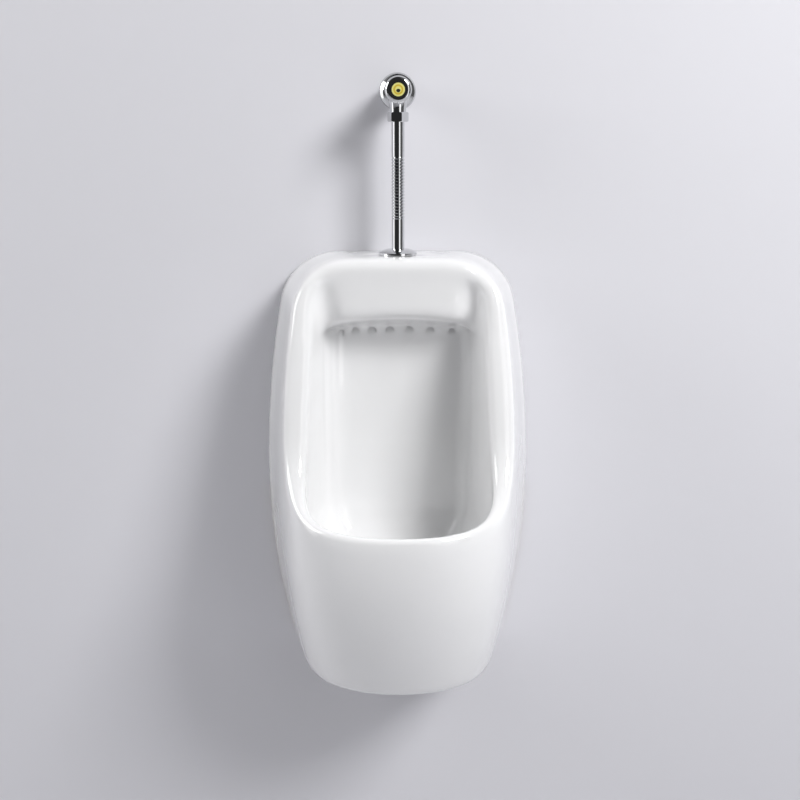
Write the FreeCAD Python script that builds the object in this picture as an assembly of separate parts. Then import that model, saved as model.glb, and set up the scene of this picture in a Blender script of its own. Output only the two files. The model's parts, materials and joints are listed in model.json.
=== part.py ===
"""Wall-hung urinal with an exposed push valve, a ribbed flush pipe and a trap inside its skirt.

Lengths are in millimetres. +Z is up and the wall is the plane Y = 0, so a point's depth in front
of the wall is minus its Y. The origin is on the wall, at the centre of the four hanger fixings.
"""
import FreeCAD, Part
import math
import os
from FreeCAD import Vector

# Ceramic body, outside. A drop is a distance below the body's flat top.
body_height = 568.0
top_height = 175.0
top_width = 298.0
widest_width = 373.0
widest_drop = 310.0
foot_width = 306.0
foot_depth = 205.0
top_depth = 110.0
lip_drop = 316.0
lip_depth = 295.0
nose_round = 34.0
top_corner_radius = 80.0
crease_radius = 5.0
foot_radius = 8.0
side_taper_share = 0.21
belly_power = 1.8
rim_slope = math.radians(75)

# Ceramic body, walls and the bowl's hollow
shell_wall = 10.0
bowl_wall = 9.0
rim_thickness = 25.0
lip_thickness = 14.0
foot_rim = 22.0
back_plate_gap = 10.0
back_plate_wall = 10.0
back_plate_drop = 160.0
bowl_ceiling_drop = 20.0
bowl_ceiling_radius = 36.0
bowl_back_depth = 50.0
bowl_back_width = 186.0
bowl_back_radius = 32.0
bowl_front_wall = 12.0
bowl_nose_round = 63.0
bowl_turn_drop = 335.0
bowl_floor_drop = 430.0
bowl_flare_share = 0.27
rim_inner_radius = 6.0

# Water spreader, the box under the bowl's ceiling with a row of rinse holes below it
spreader_width = 186.0
spreader_depth = 106.0
spreader_shoulder_depth = 94.0
spreader_front_drop = 77.0
spreader_back_drop = 95.0
spreader_arch = 6.0
spreader_corner_radius = 13.0
spreader_edge_radius = 5.0
spreader_wall = 7.5
spreader_rear_drop = 116.0
rinse_hole_count = 7
rinse_hole_pitch = 25.4
rinse_hole_shift = -10.8
rinse_hole_growth_share = 0.038
rinse_hole_width = 12.0
rinse_hole_thickness = 4.0
rinse_hole_margin = 1.0
rinse_hole_tilt = math.radians(66)

# Flush pipe and the spud where it enters the body
pipe_depth = 54.0
pipe_radius = 8.4
pipe_bore = 6.4
pipe_inside_drop = 22.0
rib_count = 19
rib_pitch = 4.13
rib_first_rise = 48.0
rib_radius = 8.7
rib_root_radius = 7.3
rib_crest_share = 0.42
rib_flank_share = 0.20
collar_radius = 10.1
collar_height = 1.5
inlet_hole_radius = 16.0
spud_seal_flange_radius = 21.0
spud_seal_flange = 2.5
spud_seal_tail = 6.0
spud_seal_lip_radius = 11.0
spud_cover_radius = 25.4
spud_cover_rim = 3.2
spud_cover_height = 8.0
spud_cover_wall = 1.0

# Coupling between the flush pipe and the valve
nut_across_flats = 24.0
nut_height = 12.3
nut_rise = 172.4
nut_lip = 2.5
nut_turn = math.radians(-9)
nut_chamfer = 1.2
coupling_washer_height = 2.0

# Flush valve. Radii are about its axis, which stands square to the wall.
valve_rise = 212.0
valve_travel = 8.0
valve_thread_radius = 10.48
valve_bore = 6.5
shank_neck_radius = 9.9
inlet_reach = 28.0
escutcheon_radius = 24.6
escutcheon_depth = 8.5
escutcheon_wall = 1.2
barrel_start = 9.5
barrel_end = 68.0
barrel_radius = 17.0
barrel_shoulder = 6.0
barrel_chamfer = 1.0
spring_room_start = 13.0
spring_room_radius = 10.0
seat_start = 36.0
seat_height = 4.0
main_bore = 12.4
neck_top_radius = 11.9
neck_top_fall = 15.5
neck_end_rise = 187.0
plug_length = 5.0
bonnet_flange_radius = 14.5
bonnet_flange = 2.0
gasket_height = 1.0
sleeve_radius = 10.5
sleeve_length = 11.0
sleeve_room_radius = 6.8
sleeve_room_depth = 9.0
spindle_radius = 3.0
spindle_head_radius = 4.5
spindle_head = 1.5
oring_radius = 0.9
oring_start = 63.5
poppet_radius = 8.5
poppet_height = 5.0
poppet_seal_height = 2.7
spring_radius = 7.6
spring_wire = 0.5
spring_turns = 5
filter_height = 1.2
filter_inset = 1.5
filter_hole_radius = 0.85
filter_ring_pitch = 2.5
filter_ring_count = 2

# Push button with its two-part inlay
button_radius = 17.4
button_length = 14.0
button_clearance = 1.0
button_edge_radius = 5.5
button_room_radius = 11.2
button_front_wall = 3.5
hub_radius = 6.2
hub_length = 7.5
hub_grip = 5.5
inlay_ring_radius = 11.7
inlay_disc_radius = 8.4
inlay_depth = 1.5
disc_crown = 0.5

# Waste outlet of the bowl
drain_depth = 150.0
drain_boss_height = 11.0
drain_boss_radius = 34.0
drain_hole_radius = 22.5
waste_flange_radius = 32.0
waste_flange = 3.0
waste_thread_radius = 20.95
waste_bore = 17.0
waste_tail_length = 36.0
waste_seal_radius = 31.0
waste_upper_seal = 1.5
waste_lower_seal = 3.0
locknut_height = 8.0
locknut_flats = 54.0
strainer_radius = 27.4
strainer_wall = 1.5
strainer_crown = 4.0
strainer_seat_width = 2.6
strainer_recess = 1.4
strainer_hole_radius = 2.3
strainer_ring_pitch = 6.8
strainer_ring_count = 3
strainer_knob_radius = 3.2
strainer_knob_height = 7.0

# Trap and the tube into the wall
trap_radius = 16.0
trap_wall = 2.0
trap_bend_radius = 30.0
trap_turn_drop = 494.0
outlet_drop = 446.0
trap_end_depth = 44.0
trap_thread_length = 14.0
trap_collar_radius = 19.8
trap_collar = 2.5
trap_washer = 3.0
union_flats = 50.0
union_length = 18.0
union_lip = 3.0
outlet_reach = 50.0
wall_seal_radius = 25.0
wall_seal_length = 12.0
stop_bead_radius = 17.2
stop_bead = 2.0

# Hangers on the wall
fixing_spread = 230.0
fixing_rise = 50.0
hanger_width = 36.0
hanger_wall = 3.0
hanger_foot = 15.0
hook_drop = 127.0
hook_slack = 1.0
hook_height = 15.0
slot_width = 44.0
slot_height = 25.0
stud_radius = 3.0
stud_end = 1.2
stud_wall_radius = 5.0
stud_wall_length = 50.0
stud_nut_flats = 10.0
stud_nut_height = 3.2
washer_radius = 7.0
washer_height = 1.2

# Clearances, the overrun of cutting tools and how near two places count as one
snug_gap = 0.03
running_gap = 0.05
seat_gap = 0.3
hole_gap = 0.35
overrun = 20.0
same_place = 0.01

# Stations of the drawn curves
wrap_steps = 8
shell_sections = 10
floor_turns = 5
floor_last = math.radians(75)

# Places that several pieces share
full_turn = 2 * math.pi
up = Vector(0, 0, 1)
outward = Vector(0, -1, 0)
pipe_place = (0, pipe_depth)
drain_place = (0, drain_depth)
valve_height = top_height + valve_rise
drain_seat = top_height - bowl_floor_drop
waste_face = drain_seat + waste_upper_seal
boss_under = drain_seat - drain_boss_height
waste_tail_end = waste_face - waste_tail_length
outlet_height = top_height - outlet_drop
nut_low = top_height + nut_rise
collar_low = nut_low + nut_lip
tail_low = collar_low + collar_height + coupling_washer_height
seat_front = seat_start + seat_height
poppet_front = seat_start - seat_gap - poppet_seal_height
poppet_back = poppet_front - poppet_height
bonnet_face = barrel_end - bonnet_flange
gasket_back = bonnet_face - gasket_height
plug_end = bonnet_face - plug_length
button_back = barrel_end + valve_travel + button_clearance
button_front = button_back + button_length
hub_back = button_front - button_front_wall - hub_length
hook_level = top_height - hook_drop
stud_nut_face = hanger_wall + washer_height
spreader_arch_radius = (spreader_width / 2) ** 2 / 2 / spreader_arch + spreader_arch / 2


def at(x, depth, z):
    """A point from its place across the wall, its depth in front of the wall and its height."""
    return Vector(x, -depth, z)


def closed_face(path):
    """A face inside a closed path of points, where ('arc', middle, end) is a round stretch."""
    edges = []
    start = path[0]
    for step in list(path[1:]) + [start]:
        if step[0] == "arc":
            edges.append(Part.Arc(start, step[1], step[2]).toShape())
            start = step[2]
        elif (step - start).Length > same_place:
            edges.append(Part.makeLine(start, step))
            start = step
    return Part.Face(Part.Wire(edges))


def turned(profile, place):
    """A solid turned about a vertical axis at place, from (radius, height) steps."""
    x, depth = place

    def put(point):
        return at(x + point[0], depth, point[1])

    path = [("arc", put(p[1]), put(p[2])) if p[0] == "arc" else put(p) for p in profile]
    return closed_face(path).revolve(at(x, depth, 0), up, math.degrees(full_turn))


def turned_level(profile, height):
    """A solid turned about an axis square to the wall at height, from (radius, depth) steps."""
    def put(point):
        return at(point[0], point[1], height)

    path = [("arc", put(p[1]), put(p[2])) if p[0] == "arc" else put(p) for p in profile]
    return closed_face(path).revolve(at(0, 0, height), outward, math.degrees(full_turn))


def crown_fall(radius, crown, reach):
    """How far a round crown has fallen below its crest at a reach from its axis."""
    ball = (radius ** 2 + crown ** 2) / (2 * crown)
    return ball - math.sqrt(ball ** 2 - reach ** 2)


def rod(radius, place, low, high):
    """An upright cylinder from one height to another."""
    return Part.makeCylinder(radius, high - low, at(place[0], place[1], low), up)


def level_rod(radius, x, height, near, far):
    """A cylinder square to the wall, from one depth to a greater one."""
    return Part.makeCylinder(radius, far - near, at(x, near, height), outward)


def ring(outer, inner, place, low, high):
    """An upright tube from one height to another."""
    return rod(outer, place, low, high).cut(rod(inner, place, low - overrun, high + overrun))


def level_ring(outer, inner, height, near, far):
    """A tube square to the wall, from one depth to a greater one."""
    return level_rod(outer, 0, height, near, far).cut(
        level_rod(inner, 0, height, near - overrun, far + overrun))


def block(x_low, x_high, near, far, low, high):
    """A box from its limits across the wall, in depth and in height."""
    return Part.makeBox(x_high - x_low, far - near, high - low, at(x_low, far, low))


def hexagon(across_flats, base, direction, turn, length):
    """A six-sided prism that starts at base and runs along direction."""
    corner = across_flats / 2 / math.cos(full_turn / 12)
    side = Vector(1, 0, 0)
    across = direction.cross(side)
    points = []
    for k in range(6):
        angle = turn + full_turn * k / 6
        points.append(base + side * (corner * math.cos(angle)) + across * (corner * math.sin(angle)))
    return Part.Face(Part.makePolygon(points + points[:1])).extrude(direction * length)


def chamfered_hexagon(across_flats, base, direction, turn, length, chamfer):
    """A six-sided prism with its corners turned off at both ends."""
    corner = across_flats / 2 / math.cos(full_turn / 12)
    prism = hexagon(across_flats, base, direction, turn, length)
    barrel = Part.makeCylinder(corner, length, base, direction)
    return prism.common(barrel.makeChamfer(chamfer, [e for e in barrel.Edges if e.Closed]))


def on_ends(edge, height):
    """Whether both ends of an edge are at a height."""
    return all(abs(v.Point.z - height) < same_place for v in edge.Vertexes)


def save(name, shape):
    """Write one sub-part to its own file."""
    if not shape.isValid():
        print("not valid:", name)
    shape.exportStep("parts/" + name + ".step")
    print(f"{name}: {len(shape.Solids)} solids, {shape.Volume / 1000:.2f} cm3")


def wall_half_width(drop):
    """Half the body's width at the wall, widest at widest_drop and narrower above and below."""
    if drop < widest_drop:
        edge = top_width
        reach = widest_drop
    else:
        edge = foot_width
        reach = body_height - widest_drop
    share = (drop - widest_drop) / reach
    return (widest_width - (widest_width - edge) * share ** 2) / 2


def front_depth(drop):
    """How far the body's front stands from the wall: upright at the lip, then falling back."""
    share = max(0, (drop - lip_drop) / (body_height - lip_drop))
    return lip_depth - (lip_depth - foot_depth) * share ** belly_power


def wrap(half_width, slope, back, front, power):
    """Points (x, depth) along one side and round to the nose, closing in by a power law."""
    points = []
    for k in range(wrap_steps + 1):
        angle = full_turn / 4 * (k / wrap_steps) ** 2
        run = (front - back) * math.sin(angle) ** (2 / power)
        points.append(((half_width + slope * run) * math.cos(angle), back + run))
    return points[:-1] + [(0, front)]


def wrap_edge(points, height):
    """One smooth edge through side points, round the nose and along the mirrored side."""
    both = points + [(-x, depth) for x, depth in reversed(points[:-1])]
    spots = [at(x, depth, height) for x, depth in both]
    lengths = [0]
    for before, after in zip(spots, spots[1:]):
        lengths.append(lengths[-1] + (after - before).Length)
    curve = Part.BSplineCurve()
    curve.interpolate(Points=spots, Parameters=[length / lengths[-1] for length in lengths])
    return curve.toShape()


def shell_outline(drop, inset, start):
    """The body's outline at a drop, inset by a wall, from a starting depth."""
    half_width = wall_half_width(drop) - inset
    front = front_depth(drop) - inset
    points = wrap(half_width, -side_taper_share, 0, front, front / nose_round)
    points[0] = (half_width - side_taper_share * start, start)
    side = wrap_edge(points, top_height - drop)
    ends = [side.Vertexes[-1].Point, side.Vertexes[0].Point]
    return Part.Wire([side, Part.makeLine(ends[0], ends[1])])


def shell_solid(inset, start, first, last):
    """The body's outer form, or the same form inset by a wall."""
    step = (last - first) / (shell_sections - 1)
    outlines = [shell_outline(first + step * k, inset, start) for k in range(shell_sections)]
    return Part.makeLoft(outlines, True, False)


def rim_profile():
    """The rim's line from the side: straight and steep from the top, then an arc to a level lip."""
    steep = math.tan(rim_slope)
    rise = 1 - math.cos(rim_slope)
    run = math.sin(rim_slope)
    radius = (steep * (lip_depth - top_depth) - lip_drop) / (steep * run - rise)
    return steep, radius, lip_depth - radius * run, lip_drop - radius * rise


def rim_depth(drop):
    """How far the rim stands from the wall at a drop."""
    steep, radius, bend_depth, bend_drop = rim_profile()
    if drop < bend_drop:
        return top_depth + drop / steep
    above = min(radius, max(0, radius - (lip_drop - drop)))
    return lip_depth - math.sqrt(radius ** 2 - above ** 2)


def front_cutter(back, down):
    """All that lies in front of the rim's line, moved back and down by a thickness."""
    steep, radius, bend_depth, bend_drop = rim_profile()
    half = rim_slope / 2
    middle = (lip_depth - radius * math.sin(half), lip_drop - radius * (1 - math.cos(half)))
    far = lip_depth + back + overrun

    def put(depth, drop):
        return at(-widest_width, depth - back, top_height - drop - down)

    face = closed_face([
        put(top_depth - overrun / steep, -overrun),
        put(bend_depth, bend_drop),
        ("arc", put(*middle), put(lip_depth, lip_drop)),
        put(far, lip_drop),
        put(far, -overrun - down),
        put(top_depth - overrun / steep, -overrun - down),
    ])
    return face.extrude(Vector(2 * widest_width, 0, 0))


def on_rim(edge):
    """Whether an edge lies on the rim's cut surface."""
    for share in (1 / 8, 1 / 2, 7 / 8):
        spot = edge.valueAt(edge.FirstParameter + (edge.LastParameter - edge.FirstParameter) * share)
        drop = top_height - spot.z
        if drop > lip_drop + seat_gap or abs(-spot.y - rim_depth(drop)) > seat_gap:
            return False
    return True


def bowl_outline(height, scale, grow):
    """The bowl's outline, grown by a wall and scaled about the drain."""
    half_width = bowl_back_width / 2 + grow
    back = bowl_back_depth - grow
    front = lip_depth - bowl_front_wall + grow
    flare = math.atan(bowl_flare_share)
    half_corner = full_turn / 8 + flare / 2
    radius = bowl_back_radius + grow
    tangent = radius / math.tan(half_corner)
    lean = (-math.cos(half_corner), math.sin(half_corner))
    reach = radius / math.sin(half_corner) - radius
    points = wrap(half_width, bowl_flare_share, back, front, (front - back) / bowl_nose_round)
    points[0] = (half_width + tangent * math.sin(flare), back + tangent * math.cos(flare))
    middle = (half_width + reach * lean[0], back + reach * lean[1])
    corner = (half_width - tangent, back)

    def scaled(point):
        return (point[0] * scale, drain_depth + (point[1] - drain_depth) * scale)

    def put(point, side):
        x, depth = scaled(point)
        return at(x * side, depth, height)

    side = wrap_edge([scaled(point) for point in points], height)
    left = Part.Arc(put(points[0], -1), put(middle, -1), put(corner, -1)).toShape()
    right = Part.Arc(put(corner, 1), put(middle, 1), put(points[0], 1)).toShape()
    return Part.Wire([side, left, Part.makeLine(put(corner, -1), put(corner, 1)), right])


def bowl_solid(grow, ceiling_drop, ceiling_radius):
    """The bowl's hollow, or the hollow grown by its wall: upright sides over a rounded floor."""
    ceiling = top_height - ceiling_drop
    walls = Part.Face(bowl_outline(ceiling, 1, grow)).extrude(Vector(0, 0, ceiling_drop - bowl_turn_drop))
    top_edges = [edge for edge in walls.Edges if on_ends(edge, ceiling)]
    walls = walls.makeFillet(ceiling_radius, top_edges)
    fall = bowl_floor_drop - bowl_turn_drop + grow
    outlines = []
    for k in range(floor_turns + 1):
        angle = floor_last * k / floor_turns
        height = top_height - bowl_turn_drop - fall * math.sin(angle)
        outlines.append(bowl_outline(height, math.cos(angle), grow))
    return walls.fuse(Part.makeLoft(outlines, True, False))


def spreader_line(depth, offset):
    """The drop of the spreader's sloping underside at a depth, moved up by an offset."""
    slope = (spreader_back_drop - spreader_front_drop) / (spreader_depth - bowl_back_depth)
    return spreader_front_drop + slope * (spreader_depth - depth) - offset * math.hypot(1, slope)


def spreader_box(half_width, near, front, wall):
    """A box that hangs from the top, with the spreader's sloping and arched underside."""
    rear = bowl_back_depth - (bowl_wall if wall else 0)
    reach = spreader_arch + overrun

    def put(depth, drop):
        return at(-half_width, depth, top_height - drop)

    box = closed_face([put(near, shell_wall), put(front, shell_wall),
                       put(front, spreader_line(front, wall) + reach),
                       put(rear, spreader_line(rear, wall) + reach),
                       put(near, spreader_line(rear, wall) + reach)])
    box = box.extrude(Vector(2 * half_width, 0, 0))
    if not wall:
        corners = [edge for edge in box.Edges
                   if abs(edge.Vertexes[0].Point.y + front) < seat_gap
                   and abs(edge.Vertexes[-1].Point.y + front) < seat_gap
                   and not on_ends(edge, edge.Vertexes[0].Point.z)]
        box = box.makeFillet(spreader_corner_radius, corners)
    front_point = at(0, spreader_depth, top_height - spreader_line(spreader_depth, wall))
    back_point = at(0, bowl_back_depth, top_height - spreader_line(bowl_back_depth, wall))
    along = back_point - front_point
    along.normalize()
    down = along.cross(Vector(1, 0, 0))
    if down.z > 0:
        down = down * -1
    centre = front_point + down * spreader_arch_radius - along * overrun
    return box.cut(Part.makeCylinder(spreader_arch_radius, spreader_depth + 2 * overrun, centre, along))


def spreader_block(wall):
    """The spreader's box with its arched underside, or the water room a wall inside it."""
    half_width = spreader_width / 2 - wall
    near = back_plate_gap + (back_plate_wall if wall else 0)
    front = spreader_depth - wall
    rear = bowl_back_depth - (bowl_wall if wall else 0)
    top = top_height - shell_wall
    box = spreader_box(half_width, near, front, wall)
    if not wall:
        lower = [edge for edge in box.Edges
                 if abs(edge.CenterOfMass.y + front) < same_place
                 and edge.BoundBox.XLength > 2 * spreader_corner_radius
                 and edge.CenterOfMass.z < top - spreader_wall]
        box = box.makeFillet(spreader_edge_radius, lower)
    return box.fuse(block(-half_width, half_width, near, rear,
                          top_height - spreader_rear_drop + wall, top))


def rinse_holes():
    """A row of flat slanting holes from the water room to just under the spreader, set wider to the right."""
    holes = []
    inward = Vector(0, math.cos(rinse_hole_tilt), math.sin(rinse_hole_tilt))
    half_height = rinse_hole_thickness / 2 / math.cos(rinse_hole_tilt)
    length = (bowl_wall + rinse_hole_thickness) / math.cos(rinse_hole_tilt)
    outline = Part.Ellipse(Vector(0, 0, 0), rinse_hole_width / 2, rinse_hole_thickness / 2)
    tool = Part.Face(Part.Wire([outline.toShape()])).extrude(up * 2 * length)
    tool.rotate(Vector(0, 0, 0), Vector(1, 0, 0), math.degrees(rinse_hole_tilt - full_turn / 4))
    for k in range(rinse_hole_count):
        place = k - (rinse_hole_count - 1) / 2
        x = rinse_hole_shift + rinse_hole_pitch * (place + rinse_hole_growth_share * place ** 2)
        sag = spreader_arch_radius - math.sqrt(spreader_arch_radius ** 2 - x ** 2)
        drop = spreader_back_drop + sag + rinse_hole_margin + half_height
        spot = at(x, bowl_back_depth, top_height - drop)
        hole = tool.copy()
        hole.translate(spot - inward * length)
        holes.append(hole)
    return holes


def hanger_slots():
    """The two openings in the back plate that the hooks pass through."""
    slots = []
    far = back_plate_gap + back_plate_wall + seat_gap
    for side in (-1, 1):
        x = side * fixing_spread / 2
        slots.append(block(x - slot_width / 2, x + slot_width / 2, 0, far,
                           hook_level - slot_height, hook_level))
    return slots


def top_sides(shape, height):
    """The two edges of a level top that run back towards the wall."""
    return [edge for edge in shape.Edges
            if on_ends(edge, height)
            and abs(edge.Vertexes[0].Point.y - edge.Vertexes[-1].Point.y) > top_depth / 2]


def ceramic_body():
    """The hollow body: outer shell, bowl, spreader, back plate and an open skirt."""
    body = shell_solid(0, 0, 0, body_height).cut(front_cutter(0, 0))
    body = body.makeFillet(top_corner_radius, top_sides(body, top_height))
    body = body.makeFillet(crease_radius, [edge for edge in body.Edges if on_rim(edge)])
    foot = [edge for edge in body.Edges
            if on_ends(edge, top_height - body_height) and edge.BoundBox.YLength > foot_depth / 2]
    body = body.makeFillet(foot_radius, foot)

    bowl = bowl_solid(0, bowl_ceiling_drop, bowl_ceiling_radius)
    body = body.cut(bowl)
    skin = bowl.Shells[0]
    mouth = [edge for edge in body.Edges
             if on_rim(edge) and skin.distToShape(Part.Vertex(edge.CenterOfMass))[0] < overrun]
    mouth = [edge for edge in mouth
             if all(skin.distToShape(Part.Vertex(v.Point))[0] < same_place for v in edge.Vertexes)]
    body = body.makeFillet(rim_inner_radius, mouth)

    box = spreader_block(0)
    room = spreader_block(spreader_wall)
    shoulders = spreader_box(widest_width / 2, back_plate_gap, spreader_shoulder_depth, 0)
    turn_height = top_height - bowl_turn_drop
    boss = rod(drain_boss_radius, drain_place, boss_under, turn_height)
    plate = block(-widest_width / 2, widest_width / 2, back_plate_gap, back_plate_gap + back_plate_wall,
                  top_height - back_plate_drop, top_height)
    hollow = shell_solid(shell_wall, -overrun, shell_wall, body_height - shell_wall)
    hollow = hollow.cut(front_cutter(rim_thickness, lip_thickness))
    hollow = hollow.makeFillet(top_corner_radius - shell_wall, top_sides(hollow, top_height - shell_wall))
    hollow = hollow.cut(bowl_solid(bowl_wall, bowl_ceiling_drop - bowl_wall, bowl_ceiling_radius))
    hollow = hollow.cut(box).cut(boss).cut(plate)
    body = body.fuse(box.fuse(shoulders).common(bowl)).cut(hollow)

    tools = rinse_holes() + hanger_slots() + [
        room,
        rod(inlet_hole_radius, pipe_place, top_height - shell_wall - overrun, top_height + overrun),
        rod(drain_boss_radius, drain_place, drain_seat, turn_height),
        rod(drain_hole_radius, drain_place, boss_under - overrun, turn_height),
        foot_opening(),
    ]
    for tool in tools:
        body = body.cut(tool)
    return body


def foot_opening():
    """The way in from below, a rim's width inside the foot."""
    outline = shell_outline(body_height, foot_rim, foot_rim)
    lowered = Part.Face(outline).extrude(Vector(0, 0, shell_wall + overrun))
    lowered.translate(Vector(0, 0, -overrun))
    return lowered


def hanger_bracket(side):
    """A steel angle on the wall with a hook that the body hangs on."""
    x = side * fixing_spread / 2
    hook_reach = back_plate_gap + back_plate_wall + hook_slack + hanger_wall
    low = -fixing_rise / 2 - hanger_foot

    def put(depth, z):
        return at(x - hanger_width / 2, depth, z)

    outline = closed_face([
        put(0, low), put(hanger_wall, low), put(hanger_wall, hook_level - hanger_wall),
        put(hook_reach, hook_level - hanger_wall), put(hook_reach, hook_level + hook_height),
        put(hook_reach - hanger_wall, hook_level + hook_height),
        put(hook_reach - hanger_wall, hook_level), put(0, hook_level),
    ])
    angle = outline.extrude(Vector(hanger_width, 0, 0))
    for place_x, z in fixing_places():
        hole = level_rod(stud_radius + hole_gap, place_x, z, -overrun, hanger_wall + overrun)
        angle = angle.cut(hole)
    corners = [edge for edge in angle.Edges
               if abs(edge.BoundBox.YLength - hanger_wall) < same_place
               and edge.BoundBox.XLength < same_place and edge.BoundBox.ZLength < same_place]
    return angle.makeFillet(hanger_wall, [edge for edge in corners if edge.CenterOfMass.z < 0])


def fixing_places():
    """The four fixings on the wall, as places across it and heights."""
    return [(side * fixing_spread / 2, rise * fixing_rise / 2) for side in (-1, 1) for rise in (-1, 1)]


def hanger_washers():
    """A flat washer under each nut."""
    return Part.makeCompound([
        level_rod(washer_radius, x, z, hanger_wall, stud_nut_face).cut(
            level_rod(stud_radius + hole_gap, x, z, -overrun, stud_nut_face + overrun))
        for x, z in fixing_places()])


def hanger_nuts():
    """Hexagon nuts that clamp the hangers on the studs."""
    nuts = []
    for x, z in fixing_places():
        nut = chamfered_hexagon(stud_nut_flats, at(x, stud_nut_face, z), outward, 0, stud_nut_height,
                                stud_radius / 6)
        nuts.append(nut.cut(level_rod(stud_radius + snug_gap, x, z, -overrun, stud_nut_face + overrun)))
    return Part.makeCompound(nuts)


def wall_studs():
    """Double-ended studs: a thick pointed end in the wall, a thin one through hanger and nut."""
    far = stud_nut_face + stud_nut_height + stud_end
    studs = []
    for x, z in fixing_places():
        thick = level_rod(stud_wall_radius, x, z, -stud_wall_length, 0)
        tip = [edge for edge in thick.Edges if edge.Closed and edge.CenterOfMass.y > stud_wall_length / 2]
        thin = level_rod(stud_radius, x, z, -stud_wall_length / 2, far)
        end = [edge for edge in thin.Edges if edge.Closed and edge.CenterOfMass.y < 0]
        studs.append(thick.makeChamfer(stud_wall_radius / 2, tip).fuse(thin.makeChamfer(stud_radius / 6, end)))
    return Part.makeCompound(studs)


def spud_seal():
    """The rubber grommet between the flush pipe and the hole in the body's top."""
    bore = pipe_radius + snug_gap
    outer = inlet_hole_radius - snug_gap
    low = top_height - shell_wall - spud_seal_tail
    return turned([
        (bore, top_height + spud_seal_flange), (spud_seal_flange_radius, top_height + spud_seal_flange),
        (spud_seal_flange_radius, top_height), (outer, top_height),
        (outer, top_height - shell_wall), (spud_seal_lip_radius, low), (bore, low),
    ], pipe_place)


def spud_cover():
    """The thin domed cover that hides the grommet."""
    outer = spud_cover_radius
    inner = outer - spud_cover_wall
    bore = pipe_radius + snug_gap
    low = top_height
    rim = low + spud_cover_rim
    crest = low + spud_cover_height
    knee_share = 0.52
    knee = bore + (outer - bore) * knee_share
    rise_share = 0.72
    bend = rim + (crest - rim) * rise_share
    return turned([
        (outer, low), (outer, rim), ("arc", (knee, bend), (bore, crest)),
        (bore, crest - spud_cover_wall),
        ("arc", (knee, bend - spud_cover_wall), (inner, rim)), (inner, low),
    ], pipe_place)


def flush_pipe():
    """The flush pipe with its ribbed stretch, its bore and a collar at its top."""
    def round_wire(radius, height):
        return Part.Wire([Part.makeCircle(radius, at(0, pipe_depth, height), up)])

    low = top_height - pipe_inside_drop
    first = top_height + rib_first_rise
    flank = rib_pitch * rib_flank_share
    crest = rib_pitch * rib_crest_share
    circles = [round_wire(pipe_radius, low), round_wire(pipe_radius, first - flank)]
    for k in range(rib_count):
        base = first + k * rib_pitch
        circles.append(round_wire(rib_root_radius, base))
        circles.append(round_wire(rib_radius, base + flank))
        circles.append(round_wire(rib_radius, base + flank + crest))
        circles.append(round_wire(rib_root_radius, base + 2 * flank + crest))
    last = first + rib_count * rib_pitch
    circles.append(round_wire(rib_root_radius, last))
    circles.append(round_wire(pipe_radius, last + flank))
    circles.append(round_wire(pipe_radius, collar_low))
    pipe = Part.makeLoft(circles, True, True)
    collar = rod(collar_radius, pipe_place, collar_low, collar_low + collar_height)
    bore = rod(pipe_bore, pipe_place, low - overrun, collar_low + overrun)
    return pipe.fuse(collar).cut(bore)


def coupling_nut():
    """The hexagon nut that draws the pipe's collar up to the valve."""
    base = at(0, pipe_depth, nut_low)
    nut = chamfered_hexagon(nut_across_flats, base, up, nut_turn, nut_height, nut_chamfer)
    nut = nut.cut(rod(pipe_radius + hole_gap, pipe_place, nut_low - overrun, nut_low + overrun))
    nut_top = nut_low + nut_height
    return nut.cut(rod(valve_thread_radius + snug_gap, pipe_place, collar_low, nut_top + overrun))


def coupling_washer():
    """The rubber washer between the pipe's collar and the valve."""
    low = collar_low + collar_height
    return ring(collar_radius, valve_bore, pipe_place, low, tail_low)


def valve_body():
    """The chromed brass body: threaded shank, barrel and the outlet neck."""
    shank = level_rod(valve_thread_radius, 0, valve_height, -inlet_reach, 0)
    shank = shank.fuse(level_rod(shank_neck_radius, 0, valve_height, 0, barrel_start + barrel_shoulder))
    inset = barrel_shoulder * (1 - math.sqrt(1 / 2))
    bend = (barrel_radius - inset, barrel_start + inset)
    barrel = turned_level([
        (0, barrel_start), (barrel_radius - barrel_shoulder, barrel_start),
        ("arc", bend, (barrel_radius, barrel_start + barrel_shoulder)),
        (barrel_radius, barrel_end - barrel_chamfer), (barrel_radius - barrel_chamfer, barrel_end),
        (0, barrel_end),
    ], valve_height)
    neck_start = valve_height - neck_top_fall
    neck_end = top_height + neck_end_rise
    waist = (neck_top_radius + valve_thread_radius) / 2 - barrel_chamfer / 4
    neck = turned([
        (0, valve_height - barrel_radius / 2), (neck_top_radius, valve_height - barrel_radius / 2),
        (neck_top_radius, neck_start),
        ("arc", (waist, (neck_start + neck_end) / 2), (valve_thread_radius, neck_end)),
        (valve_thread_radius, tail_low), (0, tail_low),
    ], pipe_place)
    body = barrel.fuse(shank).fuse(neck)
    cuts = [
        level_rod(valve_bore, 0, valve_height, -inlet_reach - overrun, barrel_end),
        level_rod(spring_room_radius, 0, valve_height, spring_room_start, barrel_end),
        level_rod(main_bore, 0, valve_height, seat_start, barrel_end + overrun),
        level_rod(bonnet_flange_radius + hole_gap, 0, valve_height, gasket_back, barrel_end + overrun),
        rod(valve_bore, pipe_place, tail_low - overrun, valve_height),
        level_rod(filter_seat_radius(), 0, valve_height, -inlet_reach - overrun,
                  -inlet_reach + filter_inset + filter_height),
    ]
    for cut in cuts:
        body = body.cut(cut)
    return body


def filter_seat_radius():
    """The radius of the counterbore that takes the inlet filter."""
    return (valve_bore + valve_thread_radius) / 2


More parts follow.
